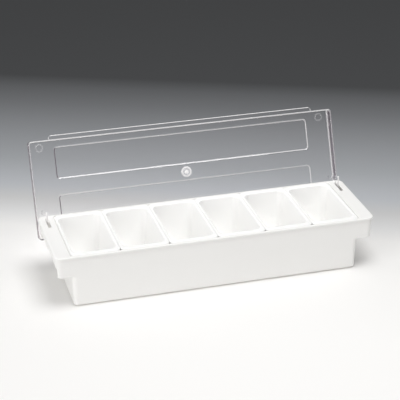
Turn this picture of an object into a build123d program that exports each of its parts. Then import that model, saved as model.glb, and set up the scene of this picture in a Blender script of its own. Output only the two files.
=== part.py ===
"""A bar garnish tray: a long tray, six lift-out pans and a clear lid that swings up on two arms.

Millimetres, +Z up, +X along the tray and +Y to the back. The origin is the middle of the tray's
underside, on the surface that it stands on. The lid is drawn open, as the tray is used.
"""

from build123d import *
from math import atan2, cos, degrees, hypot, radians, sin, sqrt, tan
import os

# The outer tray
tray_length = 500.0
tray_depth = 146.0
tray_height = 86.0
tray_wall = 2.5
tray_floor = 2.8
draft_angle = 2.0
body_corner = 9.0
body_round = 2.0
floor_round = 5.0
foot_height = 2.2
foot_inset = 4.0

# The bead round the tray's top edge
bead_height = 3.6
bead_proud = 1.6
bead_corner = 10.0
bead_round = 1.4
bead_under_round = 0.8
opening_round = 0.5

# The end ledges, which are hollow underneath and serve as grips
ledge_width = 24.0
ledge_drop = 34.4
ledge_plate = 2.5
skirt_wall = 3.0
skirt_round = 0.6
hollow_corner = 5.0
grip_drop = 18.0
grip_margin = 4.5
grip_corner = 4.0

# The seat that the pans' rims rest in
rim_margin = 3.2
end_shelf = 2.7
side_shelf = 3.2
shelf_height = 2.6
seat_corner = 6.0

# The six pans
pan_count = 6
pan_gap = 0.4
pan_clearance = 1.1
ice_room = 9.2
pan_wall = 2.0
pan_floor = 2.0
pan_rim = 2.6
pan_side_rim = 4.35
pan_end_rim = 8.0
pan_draft = 3.7
pan_rim_corner = 6.5
pan_mouth_corner = 11.0
pan_floor_round = 6.0
pan_mouth_round = 1.5
pan_edge_round = 0.7

# The clear lid, in its closed place
lid_gap = 0.3
lid_plate = 2.4
lid_wall = 2.2
lid_skirt = 12.0
lid_end_inset = 1.2
lid_front_over = 2.0
lid_rear_over = 5.9
lid_corner = 5.0
lid_round = 2.0
lid_inner_round = 0.8
lid_rim_round = 0.5

# The lid's moulded details
panel_end_margin = 39.9
panel_front_margin = 11.8
panel_rise = 1.0
panel_run = 2.2
panel_half_gap = 12.3
panel_corner = 6.0
lip_end_margin = 32.2
lip_reach = 6.4
lip_drop = 4.4
lip_thickness = 2.2
lip_corner = 5.0
lip_round = 0.8
gate_radius = 8.5
gate_height = 1.0
gate_round = 0.6
gate_nub_radius = 2.2
gate_nub_height = 0.8
mark_radius = 6.2
mark_line = 1.4
mark_height = 0.8
mark_round = 0.3
mark_end_margin = 17.8

# The hinge: an arm at each end of the lid hooks down through a slot in the ledge
hinge_back_inset = 12.4
hinge_depth = 16.2
open_angle = 112.3
arm_reach = 26.6
arm_width = 5.5
arm_thickness = 2.4
arm_tip_clearance = 0.7
elbow_round = 1.5
hub_radius = 4.5
peg_radius = 2.5
peg_clearance = 0.1
peg_length = 2.2
rib_thickness = 4.0
rib_gap = 0.4
rib_below = 7.0
rib_front = 7.0
slot_width = 5.0
slot_centre_inset = 12.9
slot_corner = 1.0
slot_rear_reach = 3.4
stop_clearance = 0.3
swing_clearance = 0.5

# One overrun serves every cut that passes through a face
overrun = 5.0

# Worked out from the sizes above
slope = tan(radians(draft_angle))
half_length = tray_length / 2
half_depth = tray_depth / 2
wall_half_depth = half_depth - bead_proud
skirt_half_length = half_length - bead_proud
seat_half_length = half_length - ledge_width
seat_half_depth = half_depth - rim_margin
seat_level = tray_height - pan_rim
cavity_half_length = seat_half_length - end_shelf
cavity_half_depth = wall_half_depth - tray_wall
body_half_length = cavity_half_length + tray_wall
ledge_bottom = tray_height - ledge_drop
ledge_roof = tray_height - ledge_plate
shelf_bottom = seat_level - shelf_height

pan_row = 2 * (seat_half_length - pan_clearance)
pan_width = (pan_row - (pan_count - 1) * pan_gap) / pan_count
pan_depth = 2 * (seat_half_depth - pan_clearance)
pan_height = tray_height - tray_floor - ice_room
pan_pitch = pan_width + pan_gap
mouth_width = pan_width - 2 * pan_side_rim
mouth_depth = pan_depth - 2 * pan_end_rim

lid_inside = tray_height + lid_gap + lid_skirt
lid_length = tray_length - 2 * lid_end_inset
lid_front = half_depth + lid_front_over
lid_rear = half_depth + lid_rear_over
lid_middle = (lid_rear - lid_front) / 2
panel_length = lid_length - 2 * panel_end_margin
panel_width = lid_front - panel_front_margin - panel_half_gap
panel_middle = panel_half_gap + panel_width / 2
panel_slope = atan2(panel_rise, panel_run)
panel_grow = lid_plate * tan(panel_slope / 2)
lip_length = lid_length - 2 * lip_end_margin

hinge_y = half_depth - hinge_back_inset
hinge_z = tray_height - hinge_depth
hinge_axis = Axis((0, hinge_y, hinge_z), (1, 0, 0))
slot_x = half_length - slot_centre_inset
slot_rear = hinge_y + slot_rear_reach
arm_outer_x = slot_x + slot_width / 2 - rib_gap
arm_inner_x = arm_outer_x - arm_thickness
rib_outer_x = arm_inner_x - rib_gap
rib_inner_x = rib_outer_x - rib_thickness
arm_tip_y = hinge_y - arm_reach + hub_radius
arm_tip_z = ledge_bottom + arm_tip_clearance + hub_radius
bar_turn = atan2(hinge_z - arm_tip_z, hinge_y - arm_tip_y)

# The elbow swings up through the slot in front of the hinge, so its circle sets the slot's front end
elbow_out = arm_reach - elbow_round
elbow_down = hinge_z - arm_tip_z + hub_radius - elbow_round
elbow_swing = hypot(elbow_out, elbow_down) + elbow_round
slot_front = hinge_y - sqrt(elbow_swing**2 - (ledge_roof - hinge_z) ** 2) - swing_clearance

# The lid's rear skirt meets the tray's back wall when it is open, and so stops it there
open_sine = sin(radians(open_angle))
open_cosine = cos(radians(open_angle))
rear_root_y = hinge_y + (lid_rear - hinge_y) * open_cosine + (lid_inside - hinge_z) * open_sine
rear_root_z = hinge_z - (lid_rear - hinge_y) * open_sine + (lid_inside - hinge_z) * open_cosine
wall_at_root = wall_half_depth - (tray_height - rear_root_z) * slope
rear_room = (rear_root_y - wall_at_root - stop_clearance) / (open_sine - open_cosine * slope)
rear_skirt = min(lid_skirt, rear_room)

# The side skirts are notched round the hinge, so that they swing past the ledge's back edge
notch_radius = hypot(hinge_back_inset, hinge_depth) + swing_clearance


def rounded_block(length, depth, corner, top, bottom, taper=0.0, round_foot=0.0, round_top=0.0):
    """A block with rounded upright corners that narrows downwards from its top outline."""
    with BuildPart() as block:
        with BuildSketch(Plane.XY.offset(top)):
            RectangleRounded(length, depth, corner)
        extrude(amount=top - bottom, dir=(0, 0, -1), taper=taper)
        if round_foot:
            fillet(block.edges().group_by(Axis.Z)[0], round_foot)
        if round_top:
            fillet(block.edges().group_by(Axis.Z)[-1], round_top)
    return block.part


def make_grip_cut(side):
    """The opening in an end skirt that the fingers reach through, between the skirt's corners."""
    top = tray_height - grip_drop
    bottom = ledge_bottom - 2 * grip_corner
    with BuildPart() as cut:
        with BuildSketch(Plane.YZ.offset(side * half_length)):
            with Locations((0, (top + bottom) / 2)):
                RectangleRounded(2 * (wall_half_depth - grip_margin), top - bottom, grip_corner)
        extrude(amount=2 * skirt_wall + bead_proud, both=True)
    return cut.part


def make_seat_rail(side):
    """A rail along the front or back wall, with a sloped underside, that carries the pans' rims."""
    wall = side * (cavity_half_depth + tray_wall / 2)
    edge = side * (seat_half_depth - side_shelf)
    with BuildPart() as rail:
        with BuildSketch(Plane.YZ):
            with BuildLine():
                Polyline(
                    (wall, seat_level),
                    (edge, seat_level),
                    (edge, shelf_bottom),
                    (wall, shelf_bottom - abs(wall - edge)),
                    close=True,
                )
            make_face()
        extrude(amount=cavity_half_length, both=True)
    return rail.part


def make_hinge_rib(side):
    """The rib under an end ledge that the lid's peg turns in."""
    back = wall_half_depth - skirt_wall / 2
    top = ledge_roof + ledge_plate / 2
    front = hinge_y - rib_front
    with BuildPart() as rib:
        with BuildSketch(Plane.YZ.offset(side * (rib_inner_x + rib_outer_x) / 2)):
            with BuildLine():
                Polyline(
                    (front, top),
                    (front, hinge_z),
                    (front + rib_below / 2, hinge_z - rib_below),
                    (back, hinge_z - rib_below),
                    (back, top),
                    close=True,
                )
            make_face()
            with Locations((hinge_y, hinge_z)):
                Circle(peg_radius + peg_clearance, mode=Mode.SUBTRACT)
        extrude(amount=rib_thickness / 2, both=True)
    return rib.part


with BuildPart() as base_tray:
    add(
        rounded_block(
            2 * skirt_half_length,
            2 * wall_half_depth,
            body_corner,
            tray_height,
            ledge_bottom,
            draft_angle,
        )
    )
    add(
        rounded_block(
            tray_length,
            tray_depth,
            bead_corner,
            tray_height,
            tray_height - bead_height,
            round_foot=bead_under_round,
            round_top=bead_round,
        )
    )
    add(
        rounded_block(
            2 * (skirt_half_length - skirt_wall),
            2 * (wall_half_depth - skirt_wall),
            hollow_corner,
            ledge_roof,
            ledge_bottom - overrun,
        ),
        mode=Mode.SUBTRACT,
    )
    fillet(base_tray.edges().group_by(Axis.Z)[0], skirt_round)
    for side in (-1, 1):
        add(make_grip_cut(side), mode=Mode.SUBTRACT)
    with BuildSketch(Plane.XY.offset(shelf_bottom)):
        Rectangle(2 * (seat_half_length + tray_wall), 2 * wall_half_depth - skirt_wall)
    extrude(amount=ledge_roof + ledge_plate / 2 - shelf_bottom)
    add(
        rounded_block(
            2 * body_half_length,
            2 * wall_half_depth,
            body_corner,
            tray_height,
            foot_height,
            draft_angle,
            round_foot=body_round,
        )
    )
    add(
        rounded_block(
            2 * (body_half_length - tray_height * slope - foot_inset),
            2 * (wall_half_depth - tray_height * slope - foot_inset),
            body_corner - foot_inset,
            tray_floor,
            0,
        )
    )
    add(
        rounded_block(
            2 * cavity_half_length,
            2 * cavity_half_depth,
            body_corner - tray_wall,
            seat_level,
            tray_floor,
            draft_angle,
            round_foot=floor_round,
        ),
        mode=Mode.SUBTRACT,
    )
    add(
        rounded_block(
            2 * seat_half_length,
            2 * seat_half_depth,
            seat_corner,
            tray_height + overrun,
            seat_level,
        ),
        mode=Mode.SUBTRACT,
    )
    for side in (-1, 1):
        add(make_seat_rail(side))
        add(make_hinge_rib(side))
    slot_length = slot_rear - slot_front
    slot_middle = (slot_rear + slot_front) / 2
    with BuildSketch(Plane.XY.offset(tray_height + overrun)):
        with Locations((-slot_x, slot_middle), (slot_x, slot_middle)):
            RectangleRounded(slot_width, slot_length, slot_corner)
    extrude(amount=-ledge_plate - overrun, mode=Mode.SUBTRACT)
    openings = base_tray.faces().sort_by(Axis.Z)[-1].inner_wires()
    fillet([edge for outline in openings for edge in outline.edges()], opening_round)


def make_pan(centre_x):
    """One lift-out pan: a drafted cup that hangs from a flat rim."""
    rim_plane = Plane(origin=(centre_x, 0, tray_height))
    with BuildPart() as mouth:
        with BuildSketch(rim_plane):
            RectangleRounded(mouth_width, mouth_depth, pan_mouth_corner)
        extrude(amount=pan_height - pan_floor, dir=(0, 0, -1), taper=pan_draft)
        fillet(mouth.edges().group_by(Axis.Z)[0], pan_floor_round)
    with BuildPart() as cup:
        with BuildSketch(rim_plane.offset(-pan_edge_round)):
            RectangleRounded(
                mouth_width + 2 * pan_wall, mouth_depth + 2 * pan_wall, pan_mouth_corner + pan_wall
            )
        extrude(amount=pan_height - pan_edge_round, dir=(0, 0, -1), taper=pan_draft)
        fillet(cup.edges().group_by(Axis.Z)[0], pan_floor_round + pan_wall)
    with BuildPart() as pan:
        with BuildSketch(rim_plane):
            RectangleRounded(pan_width, pan_depth, pan_rim_corner)
        extrude(amount=-pan_rim)
        fillet(pan.edges().group_by(Axis.Z)[-1], pan_edge_round)
        add(cup.part)
        add(mouth.part, mode=Mode.SUBTRACT)
        fillet(pan.faces().sort_by(Axis.Z)[-1].inner_wires()[0].edges(), pan_mouth_round)
    return pan


def make_panel_block(middle_y, base, grow):
    """The block of one raised panel of the lid, with sloped sides."""
    with BuildPart() as block:
        with BuildSketch(Plane.XY.offset(base)):
            with Locations((0, middle_y)):
                RectangleRounded(panel_length + 2 * grow, panel_width + 2 * grow, panel_corner + grow)
        extrude(amount=panel_rise, taper=90 - degrees(panel_slope))
    return block.part


def make_lip():
    """The finger lip that stands out along the lid's front skirt."""
    depth = lip_reach + lid_wall / 2
    with BuildPart() as lip:
        with BuildSketch(Plane.XY.offset(lid_inside - lip_drop)) as outline:
            with Locations((0, -lid_front - lip_reach + depth / 2)):
                Rectangle(lip_length, depth)
            fillet(outline.vertices().group_by(Axis.Y)[0], lip_corner)
        extrude(amount=-lip_thickness)
        root = lip.faces().sort_by(Axis.Y)[-1].edges()
        level = lip.edges().group_by(Axis.Z)[0] + lip.edges().group_by(Axis.Z)[-1]
        fillet([edge for edge in level if edge not in root], lip_round)
    return lip.part


def make_gate():
    """The round boss in the middle of the lid's inner face, with the nub where the plastic was fed in."""
    with BuildPart() as gate:
        with BuildSketch(Plane.XY.offset(lid_inside)):
            Circle(gate_radius)
        extrude(amount=-gate_height)
        fillet(gate.edges().group_by(Axis.Z)[0], gate_round)
        with BuildSketch(Plane.XY.offset(lid_inside - gate_height)):
            Circle(gate_nub_radius)
        extrude(amount=-gate_nub_height)
        fillet(gate.edges().group_by(Axis.Z)[0], gate_round)
    return gate.part


def make_mark(side):
    """A moulded ring in a front corner of the lid's inner face."""
    with BuildPart() as mark:
        with BuildSketch(Plane.XY.offset(lid_inside)):
            with Locations((side * (lid_length / 2 - mark_end_margin), panel_front_margin - lid_front)):
                Circle(mark_radius)
                Circle(mark_radius - mark_line, mode=Mode.SUBTRACT)
        extrude(amount=-mark_height)
        fillet(mark.edges().group_by(Axis.Z)[0], mark_round)
    return mark.part


def make_arm(side):
    """A hooked arm: a leg down from the lid, a square elbow, a bar back to the hub, and the peg."""
    leg_front = hinge_y - arm_reach
    leg_back = leg_front + arm_width
    leg_top = lid_inside + lid_plate / 2
    elbow_bottom = arm_tip_z - hub_radius
    knee_y = arm_tip_y + hub_radius * tan(bar_turn / 2)
    hub_side_y = hub_radius * sin(bar_turn)
    hub_side_z = hub_radius * cos(bar_turn)
    crook_z = hinge_z + hub_side_z - (hinge_y - hub_side_y - leg_back) * tan(bar_turn)
    with BuildPart() as arm:
        with BuildSketch(Plane.YZ.offset(side * (arm_inner_x + arm_outer_x) / 2)) as outline:
            with BuildLine():
                Polyline(
                    (leg_front, leg_top),
                    (leg_front, elbow_bottom),
                    (knee_y, elbow_bottom),
                    (hinge_y + hub_side_y, hinge_z - hub_side_z),
                    (hinge_y - hub_side_y, hinge_z + hub_side_z),
                    (leg_back, crook_z),
                    (leg_back, leg_top),
                    close=True,
                )
            make_face()
            fillet(outline.vertices().group_by(Axis.Z)[0].sort_by(Axis.Y)[0], elbow_round)
            with Locations((hinge_y, hinge_z)):
                Circle(hub_radius)
        extrude(amount=arm_thickness / 2, both=True)
        with BuildSketch(Plane.YZ.offset(side * (arm_inner_x - peg_length))):
            with Locations((hinge_y, hinge_z)):
                Circle(peg_radius)
        extrude(amount=side * (peg_length + arm_thickness / 2))
    return arm.part


with BuildPart() as closed_lid:
    with BuildSketch(Plane.XY.offset(lid_inside - lid_skirt)):
        with Locations((0, lid_middle)):
            RectangleRounded(lid_length, lid_front + lid_rear, lid_corner)
    extrude(amount=lid_skirt + lid_plate)
    fillet(closed_lid.edges().group_by(Axis.Z)[-1], lid_round)
    with BuildSketch(Plane.XY.offset(lid_inside)):
        with Locations((0, lid_middle)):
            RectangleRounded(
                lid_length - 2 * lid_wall, lid_front + lid_rear - 2 * lid_wall, lid_corner - lid_wall
            )
    extrude(amount=-lid_skirt - overrun, mode=Mode.SUBTRACT)
    fillet(closed_lid.edges().filter_by_position(Axis.Z, lid_inside, lid_inside), lid_inner_round)
    fillet(closed_lid.edges().group_by(Axis.Z)[0], lid_rim_round)
    with BuildSketch(Plane.XY.offset(lid_inside - rear_skirt)):
        with Locations((0, lid_rear)):
            Rectangle(lid_length + overrun, 2 * lid_corner)
    extrude(amount=-lid_skirt - overrun, mode=Mode.SUBTRACT)
    for side in (-1, 1):
        with BuildSketch(Plane.YZ.offset(side * lid_length / 2)):
            with Locations((hinge_y, hinge_z)):
                Circle(notch_radius)
        extrude(amount=2 * lid_wall, both=True, mode=Mode.SUBTRACT)
    for middle_y in (-panel_middle, panel_middle):
        add(make_panel_block(middle_y, lid_inside + lid_plate, panel_grow))
        add(make_panel_block(middle_y, lid_inside, 0), mode=Mode.SUBTRACT)
    add(make_lip())
    add(make_gate())
    for side in (-1, 1):
        add(make_mark(side))
        add(make_arm(side))

with BuildPart() as lid:
    add(closed_lid.part.rotate(hinge_axis, -open_angle))

os.makedirs("parts", exist_ok=True)
base_tray.part.label = "base_tray"
export_step(base_tray.part, "parts/base_tray.step")
lid.part.label = "lid"
export_step(lid.part, "parts/lid.step")
for number in range(pan_count):
    pan = make_pan((number - (pan_count - 1) / 2) * pan_pitch)
    pan.part.label = f"pan_{number + 1}"
    export_step(pan.part, f"parts/pan_{number + 1}.step")
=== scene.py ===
# %% [markdown] # A bar garnish tray  The tray is a long white moulding on a bar top. Six lift-out pans hang in it by
# their rims, and a clear lid swings up behind them on two hooked arms. Every shape here is hard moulded plastic with
# even walls and plain faces, so the solids come from the CAD frame as they are, and this lesson gives them their
# finishes, a floor, soft light and a camera. All lengths below are in metres.

from math import cos, radians, sin

import bpy
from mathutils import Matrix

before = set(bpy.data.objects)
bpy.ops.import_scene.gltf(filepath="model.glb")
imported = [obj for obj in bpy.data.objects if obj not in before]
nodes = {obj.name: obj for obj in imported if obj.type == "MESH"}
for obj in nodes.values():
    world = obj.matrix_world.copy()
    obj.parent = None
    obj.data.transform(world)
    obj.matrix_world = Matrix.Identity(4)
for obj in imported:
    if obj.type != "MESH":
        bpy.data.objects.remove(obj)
scene = bpy.context.scene
for leftover in ("Cube", "Light", "Camera"):
    if leftover in bpy.data.objects:
        bpy.data.objects.remove(bpy.data.objects[leftover])
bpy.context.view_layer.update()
print("pieces:", sorted(nodes))

# %% [markdown]
# ## The camera
#
# A camera can be placed by eye, but small errors in its tilt show at once along a half metre tray. This one was solved
# from about forty measured corners of the tray and the lid, which fixes its place, its direction and its lens together.
# It is a long lens from a little over two metres away, so the tray's far end is only a little smaller than its near
# end.

# %% Camera
camera = bpy.data.objects.new("camera", bpy.data.cameras.new("camera"))
scene.collection.objects.link(camera)
scene.camera = camera
camera.location = (-0.54835, -1.86208, 1.04373)
looks_down, looks_right = radians(25.56), radians(16.14)
camera.rotation_euler = (radians(90) - looks_down, 0, -looks_right)
camera.data.sensor_width = 36
camera.data.lens = 126.44
print("camera stands", round(camera.location.length, 2), "m from the tray")

# %% [markdown]
# ## Shader sums in plain Python
#
# A finish is a small network of nodes. Wiring one by hand takes three lines for every sum, which hides the idea. So
# one class holds an output socket and turns `+`, `-`, `*` and `abs` into Math nodes. A sum in a finish then reads as it
# would on paper, and numbers alone are still worked out in Python.


# %% A wire that can stand in a sum
class Wire:
    """An output socket that can stand in a sum."""

    def __init__(self, finish, socket):
        self.finish = finish
        self.socket = socket

    def math(self, operation, *terms):
        """One Math node with these terms."""
        return self.finish.node("ShaderNodeMath", {"operation": operation}, dict(enumerate(terms)))

    def __add__(self, other):
        return self.math("ADD", self, other)

    def __radd__(self, other):
        return self.math("ADD", other, self)

    def __sub__(self, other):
        return self.math("SUBTRACT", self, other)

    def __rsub__(self, other):
        return self.math("SUBTRACT", other, self)

    def __mul__(self, other):
        return self.math("MULTIPLY", self, other)

    def __rmul__(self, other):
        return self.math("MULTIPLY", other, self)

    def __abs__(self):
        return self.math("ABSOLUTE", self)


print("a wire can be added, subtracted, multiplied and freed of its sign")

# %% [markdown]
# ## One method for every other node
#
# Any other node is made in one call: its kind, its settings, then what goes into its sockets. A few short methods stand
# on it, for the patterns that the finishes of this tray share: a noise, a blend of two colours, a distance, and soft
# steps and bands that pick out a part by its place.


# %% The nodes of a finish
class Finish:
    """The nodes of one material or world."""

    def __init__(self, owner):
        owner.use_nodes = True
        self.tree = owner.node_tree
        self.tree.nodes.clear()

    def node(self, kind, settings=None, sockets=None, out=0):
        """Makes one node: its settings first, then a value or a wire for each named socket."""
        made = self.tree.nodes.new(kind)
        for name, value in (settings or {}).items():
            if name == "stops":
                ramp = made.color_ramp.elements
                for place, _ in value[len(ramp):]:
                    ramp.new(place)
                for stop, (place, colour) in zip(ramp, value):
                    stop.position = place
                    stop.color = colour
            else:
                setattr(made, name, value)
        for name, value in (sockets or {}).items():
            if isinstance(value, Wire):
                self.tree.links.new(value.socket, made.inputs[name])
            else:
                made.inputs[name].default_value = value
        return Wire(self, made.outputs[out]) if len(made.outputs) else None

    def noise(self, place, scale, detail=2.0, stretch=(1, 1, 1)):
        """A cloudy pattern about 1 / scale metres across, stretched along chosen axes."""
        moved = self.node("ShaderNodeMapping", {}, {"Vector": place, "Scale": stretch})
        return self.node("ShaderNodeTexNoise", {}, {"Vector": moved, "Scale": scale, "Detail": detail}, "Fac")

    def between(self, share, first, second):
        """A colour that goes from first to second as share goes from 0 to 1."""
        return self.node("ShaderNodeMix", {"data_type": "RGBA"}, {0: share, 6: first, 7: second}, 2)

    def along(self, place, direction):
        """How far a place lies along a direction."""
        return self.node("ShaderNodeVectorMath", {"operation": "DOT_PRODUCT"}, {0: place, 1: direction}, "Value")

    def distance(self, side, deep, centre):
        """How far a spot at side and deep lies from a centre."""
        spot = self.node("ShaderNodeCombineXYZ", {}, {"X": side - centre[0], "Y": deep - centre[1]})
        return self.node("ShaderNodeVectorMath", {"operation": "LENGTH"}, {0: spot}, "Value")

    def rise(self, value, low, high):
        """0 below low, 1 above high, and an even slope between them."""
        return self.node("ShaderNodeMapRange", {}, {"Value": value, "From Min": low, "From Max": high}, "Result")

    def band(self, value, low, high, soft=0.0002):
        """1 from low to high and 0 outside, with soft borders."""
        return self.rise(value, low - soft, low) * (1 - self.rise(value, high, high + soft))


print("a finish can make:", [name for name in vars(Finish) if not name.startswith("_")])

# %% [markdown]
# ## Greys
#
# The sheet under the tray and the room around it are almost grey, but not quite: the front of the sheet is a little
# creamy and its back a little blue. Three functions keep those leanings the same everywhere.


# %% Neutral, warm and cool grey
def grey(level):
    """A neutral colour."""
    return (level, level, level, 1)


def warm(level):
    """A grey that leans a little towards cream."""
    return (1.01 * level, level, 0.985 * level, 1)


def cool(level):
    """A grey that leans a little towards blue."""
    return (0.955 * level, 0.99 * level, 1.04 * level, 1)


print("half grey, warm and cool:", warm(0.5)[:3], cool(0.5)[:3])

# %% [markdown]
# ## White moulded plastic
#
# The tray and the pans are injection moulded in opaque white plastic. The mould's faces are polished and then lightly
# textured, so the plastic shines softly and shows a grain far finer than a millimetre. It could be one flat white, but
# a real moulding is never quite even: the plastic clouds slightly as it flows, and handling leaves faint rubs along its
# length. So two near whites are mixed by a slow noise, a stretched noise moves the roughness, and a very fine noise
# lifts the surface through a bump.
#
# The roughness stays above 0.28 everywhere. With lower values in places, the denoised picture shows small dark specks
# on the pans' inner walls.


# %% White plastic
refractive_index = 1.49
rub_swing = 0.16


def white_plastic(name, light_tone, deep_tone, roughness, grain_height):
    """Softly shining white plastic with faint clouds, rubs and a moulded grain."""
    material = bpy.data.materials.new(name)
    finish = Finish(material)
    place = finish.node("ShaderNodeTexCoord", out="Object")
    clouds = finish.noise(place, scale=14, detail=3.0)
    rubs = finish.noise(place, scale=90, detail=4.0, stretch=(0.25, 1, 1))
    grain = finish.noise(place, scale=1500)
    bump = finish.node(
        "ShaderNodeBump", {}, {"Strength": 0.35, "Distance": grain_height, "Height": grain}, "Normal"
    )
    plastic = finish.node(
        "ShaderNodeBsdfPrincipled",
        {},
        {
            "Base Color": finish.between(clouds, light_tone, deep_tone),
            "Roughness": rubs * rub_swing + (roughness - rub_swing / 2),
            "Normal": bump,
            "IOR": refractive_index,
        },
    )
    finish.node("ShaderNodeOutputMaterial", {}, {"Surface": plastic})
    return material


tray_white = white_plastic(
    "tray_white", (0.912, 0.907, 0.892, 1), (0.892, 0.885, 0.868, 1), roughness=0.38, grain_height=0.00003
)
pan_white = white_plastic(
    "pan_white", (0.982, 0.979, 0.972, 1), (0.97, 0.967, 0.958, 1), roughness=0.36, grain_height=0.00002
)
print("white finishes:", tray_white.name, pan_white.name)

# %% [markdown]
# ## Where the lid's parts are
#
# Some parts of the clear lid get a finish of their own, and no mesh has to be cut up or painted for that. A part is
# found by its place, as if the lid were closed: side is how far out it lies from the middle of the lid's length, deep
# is how far back from the middle of the tray, and high is its height above the bar top. The lid is open as it comes
# from the frame, so two directions give its back and its top as they point now.
#
# Each pair below says from where to where a part lies, or over what stretch its border is blurred.

# %% Places on the closed lid
hinge_y, hinge_z, open_angle = 0.0606, 0.0698, radians(-112.3)
to_back = (0, cos(open_angle), sin(open_angle))
to_top = (0, -sin(open_angle), cos(open_angle))

skirt_front_deep = (-0.0729, -0.0726)
rim_high = (0.0860, 0.0870)
lip_edge_deep = (-0.0806, -0.0803)
lip_root_deep = (-0.0756, -0.0752)
lip_end_side = (0.2154, 0.2158)
panel_step_high = (0.09855, 0.09905)
inner_corner_side = (0.2452, 0.2467)
inner_corner_high = (0.0958, 0.0964)
arm_top_high = (0.0858, 0.0860)
end_face_side = (0.2479, 0.26)
below_end_face_high = (0, 0.0866)
gate_centre, gate_ring, gate_face, nub = (0, 0), (0.0062, 0.0084), (0.0062, 0.0065), (0.0028, 0.0031)
mark_centre, mark_ring = (0.231, -0.0632), (0.0046, 0.0064)
ring_soft = 0.0003
print("open, the lid's back points", round(-to_back[2], 2), "down and its top", round(to_top[1], 2), "back")

# %% [markdown]
# ## Where the lid is satin, with painted highlights and painted shade
#
# The rim, the finger lip, the steps of the panels, the inner corners and the arms' narrow sides get a share of pale
# satin plastic, where 0 is none and 1 is all: a painted highlight for the bright lines that light draws along them. The
# round marks get pale satin as frosted mould marks. Steps and inner corners that face the dim right side of the room,
# and the end faces, get dark plum satin, a painted shade. A painted map could say all this, but it would need the mesh
# unwrapped first, and a sum on the place doesn't.


# %% Satin, painted highlight and painted shade shares of the lid
def satin_and_painted_lines_of_lid(finish, place):
    """How much satin each place on the lid gets, how much of it is dark painted shade, and whether it is on an end
    face.
    """
    side = abs(finish.node("ShaderNodeSeparateXYZ", {}, {"Vector": place}, "X"))
    deep = finish.along(place, to_back) + (hinge_y - hinge_y * to_back[1] - hinge_z * to_back[2])
    high = finish.along(place, to_top) + (hinge_z - hinge_y * to_top[1] - hinge_z * to_top[2])

    facing = finish.node("ShaderNodeTexCoord", out="Normal")
    facing_right = finish.node("ShaderNodeSeparateXYZ", {}, {"Vector": facing}, "X")
    turned_right = finish.rise(facing_right, 0.2, 0.3)
    turned_sideways = finish.rise(abs(facing_right), 0.4, 0.6)

    skirt_front = 1 - finish.rise(deep, *skirt_front_deep)
    rim = finish.band(high, *rim_high) * (0.12 + skirt_front * 0.38)
    lip_end = finish.rise(side, *lip_end_side) * (1 - finish.rise(deep, *lip_root_deep))
    lip = 1 - finish.rise(deep, *lip_edge_deep) * (1 - lip_end)
    steps = finish.band(high, *panel_step_high)
    inner_corner = finish.band(side, *inner_corner_side) * finish.rise(high, *inner_corner_high)
    narrow_side = (1 - turned_sideways) * (1 - finish.rise(high, *arm_top_high))
    end_face = finish.band(side, *end_face_side) * (1 - finish.band(high, *below_end_face_high))
    from_gate = finish.distance(side, deep, gate_centre)
    from_mark = finish.distance(side, deep, mark_centre)
    # Pale satin here is a painted highlight, except on the round marks; on the end faces it is painted shade.
    share = (
        rim
        + lip * 0.75
        + steps * (0.5 + turned_right * 0.3)
        + inner_corner * 0.35
        + narrow_side * 0.8
        + finish.band(from_gate, *gate_ring, ring_soft) * 0.45
        + (1 - finish.rise(from_gate, *gate_face)) * 0.2
        + (1 - finish.rise(from_gate, *nub)) * 0.6
        + finish.band(from_mark, *mark_ring, ring_soft) * 0.06
        + end_face * (0.35 - turned_right * 0.17)
    )
    # Painted shade: end faces, and steps and inner corners that face right, get dark satin.
    painted_shade_share = end_face + (steps + inner_corner) * turned_right
    return share, painted_shade_share, end_face


print("a ring mark stands", mark_centre[0], "m to each side and", -mark_centre[1], "m in front of the middle")

# %% [markdown]
# ## Clear plastic
#
# The lid is polished clear plastic, thin enough that the backdrop shows through it almost unchanged. What draws it is
# its edges: each rounded rim, step and arm bends the studio's light into a bright or a dark line. A plain
# see-through colour would lose those lines, so the lid is real refracting glass with two faces and a plastic's
# refractive index. A very faint absorption gives the long paths inside its edges their plum tint. Satin shares add
# more of those lines as colour: painted highlights in pale satin and painted shade in dark plum.
#
# Refracting glass throws a solid shadow in a path tracer unless it follows caustics, which take minutes. So shadow rays
# meet a nearly clear shader instead, and the light falls through the lid as it does in the studio.


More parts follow.
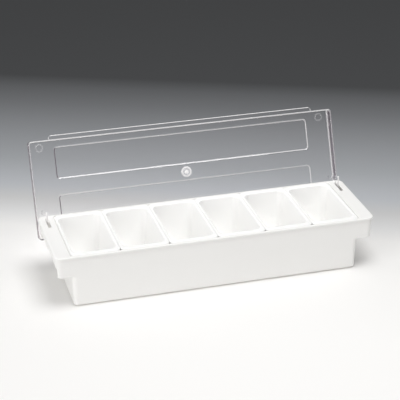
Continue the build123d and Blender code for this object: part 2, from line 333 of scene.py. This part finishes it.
# %% Clear plastic
def clear_plastic(name):
    """Polished clear plastic that lets lamp light through, with satin marks, and satin edges carrying painted
    highlights and painted shade.
    """
    material = bpy.data.materials.new(name)
    finish = Finish(material)
    place = finish.node("ShaderNodeTexCoord", out="Object")
    smears = finish.noise(place, scale=35, detail=3.0, stretch=(0.4, 1, 1))
    waves = finish.noise(place, scale=22, detail=1.0)
    bump = finish.node(
        "ShaderNodeBump", {}, {"Strength": 0.12, "Distance": 0.0002, "Height": waves}, "Normal"
    )
    satin_and_painted_line_share, painted_shade_share, end_face = satin_and_painted_lines_of_lid(finish, place)
    glass = finish.node(
        "ShaderNodeBsdfPrincipled",
        {},
        {
            # Painted shade: the end faces' glass is tinted dark plum.
            "Base Color": finish.between(end_face, (0.99, 0.985, 0.99, 1), (0.42, 0.33, 0.38, 1)),
            "Roughness": smears * 0.04,
            "Normal": bump,
            "IOR": refractive_index,
            "Transmission Weight": 1.0,
        },
    )
    satin = finish.node(
        "ShaderNodeBsdfPrincipled",
        {},
        {
            # Pale satin is a painted highlight, dark plum satin is painted shade.
            "Base Color": finish.between(painted_shade_share, (0.93, 0.92, 0.92, 1), (0.08, 0.045, 0.07, 1)),
            "Roughness": 0.35,
            "Normal": bump,
            "IOR": refractive_index,
        },
    )
    # Mixing in the satin adds the painted highlights and painted shade to the glass.
    moulded = finish.node("ShaderNodeMixShader", {}, {0: satin_and_painted_line_share, 1: glass, 2: satin})
    open_way = finish.node("ShaderNodeBsdfTransparent", {}, {"Color": grey(0.93)})
    shadow_ray = finish.node("ShaderNodeLightPath", out="Is Shadow Ray")
    surface = finish.node("ShaderNodeMixShader", {}, {0: shadow_ray, 1: moulded, 2: open_way})
    tint = finish.node("ShaderNodeVolumeAbsorption", {}, {"Color": (0.95, 0.78, 0.88, 1), "Density": 2.5})
    finish.node("ShaderNodeOutputMaterial", {}, {"Surface": surface, "Volume": tint})
    return material


lid_clear = clear_plastic("lid_clear")
print("clear finish:", lid_clear.name)

# %% [markdown]
# ## Dressing the solids
#
# Each solid comes from the frame with one material slot. Putting the finish in that slot keeps the solid, its place and
# its body as they are.

# %% Dress the pieces
for name, piece in nodes.items():
    finish_of_piece = {"base_tray": tray_white, "lid": lid_clear}.get(name, pan_white)
    piece.material_slots[0].material = finish_of_piece
    print(name, "wears", finish_of_piece.name)

# %% [markdown]
# ## Floor
#
# The sheet under the tray is white in front and grey behind, so that a white tray and a clear lid both stand out. A
# curved sweep could do it with light alone, but light that falls off also darkens the tray. So the sheet is flat and
# large, and the fall-off of light is painted into its own colour as painted shade that grows with the distance behind
# the tray: from a warm white in front to a cool, dark grey. The fade runs slightly to the right, as the picture is
# darkest in its upper right corner.

# %% Floor sheet
reach = 6.0  # from the middle to each edge
sheet_mesh = bpy.data.meshes.new("floor")
sheet_mesh.from_pydata(
    [(-reach, -reach, 0), (reach, -reach, 0), (reach, reach, 0), (-reach, reach, 0)], [], [(0, 1, 2, 3)]
)
floor = bpy.data.objects.new("floor", sheet_mesh)
scene.collection.objects.link(floor)
print("floor sheet is", 2 * reach, "m wide")

# %% [markdown]
# ## Paper of the sheet
#
# The sheet is flat, so its painted shade depends on one number: how far a spot lies behind and to the right of the
# tray's middle. A colour ramp turns that number into a tone. Each stop gives a share of the way through the fade, which
# starts a hand's width in front of the tray, and the tone there.

# %% Sheet paper
sheet_painted_falloff = bpy.data.materials.new("sheet_painted_falloff")
paper_finish = Finish(sheet_painted_falloff)
place = paper_finish.node("ShaderNodeTexCoord", out="Object")
behind_and_right = (0.375, 0.927, 0)
fade_start, fade_end = -0.2, 0.9
fade = paper_finish.rise(paper_finish.along(place, behind_and_right), fade_start, fade_end)
# Painted shade: the ramp darkens the sheet behind the tray where the light would fall off.
painted_falloff_tone = paper_finish.node(
    "ShaderNodeValToRGB",
    {
        "stops": [
            (0.0, warm(0.905)),
            (0.23, warm(0.87)),
            (0.285, warm(0.83)),
            (0.33, grey(0.71)),
            (0.38, grey(0.58)),
            (0.43, cool(0.50)),
            (0.53, cool(0.37)),
            (0.65, cool(0.275)),
            (0.78, cool(0.168)),
            (0.86, cool(0.115)),
            (0.92, cool(0.055)),
        ]
    },
    {"Fac": fade},
    "Color",
)
paper = paper_finish.node("ShaderNodeBsdfPrincipled", {}, {"Base Color": painted_falloff_tone, "Roughness": 0.9})
paper_finish.node("ShaderNodeOutputMaterial", {}, {"Surface": paper})
sheet_mesh.materials.append(sheet_painted_falloff)
print("the sheet fades over", fade_end - fade_start, "m")

# %% [markdown]
# ## Light
#
# White plastic on a white sheet needs faces of different brightness, or it melts away. A softbox hangs over the tray,
# a little in front of it, and makes the rims and ledges the brightest faces. A second one stands far out to the left
# and lights the left end and the clear lid's edges.


# %% Lamps
def softbox(name, place, tilt, width, depth, watts):
    """A rectangular lamp that faces down before it is tilted."""
    lamp = bpy.data.lights.new(name, "AREA")
    lamp.shape = "RECTANGLE"
    lamp.size = width
    lamp.size_y = depth
    lamp.energy = watts
    holder = bpy.data.objects.new(name, lamp)
    holder.location = place
    holder.rotation_euler = [radians(angle) for angle in tilt]
    scene.collection.objects.link(holder)


softbox("top_box", place=(0.2, -0.4, 1.8), tilt=(13, 0, 0), width=1.0, depth=1.0, watts=19.5)
softbox("left_box", place=(-2.0, -0.95, 0.75), tilt=(75, 0, -65), width=1.3, depth=1.2, watts=15.6)

# %% [markdown]
# ## Room
#
# The rest of the light comes from the room. It is bright above and to the left and dim on the right, so the end that
# faces right and the clear parts that mirror that side stay dark.
#
# Inside a white pan most of the light has bounced several times between the walls, so more diffuse bounces than usual
# are allowed. Without them the pans look grey. The clear lid needs a long chain of passes through its faces as well.

# %% Room
world = bpy.data.worlds.new("room")
scene.world = world
room = Finish(world)
outward = room.node("ShaderNodeTexCoord", out="Generated")
brightest_way = (-0.45, -0.15, 0.88)
brightness = room.rise(room.along(outward, brightest_way), -0.3, 0.9)
room_light = room.node(
    "ShaderNodeBackground", {}, {"Color": room.between(brightness, grey(0.28), grey(0.98)), "Strength": 0.55}
)
room.node("ShaderNodeOutputWorld", {}, {"Surface": room_light})
scene.view_settings.view_transform = "Standard"
scene.cycles.max_bounces = 16
scene.cycles.diffuse_bounces = 10
scene.cycles.transmission_bounces = 16
print("light may bounce", scene.cycles.max_bounces, "times, and", scene.cycles.diffuse_bounces, "between dull faces")
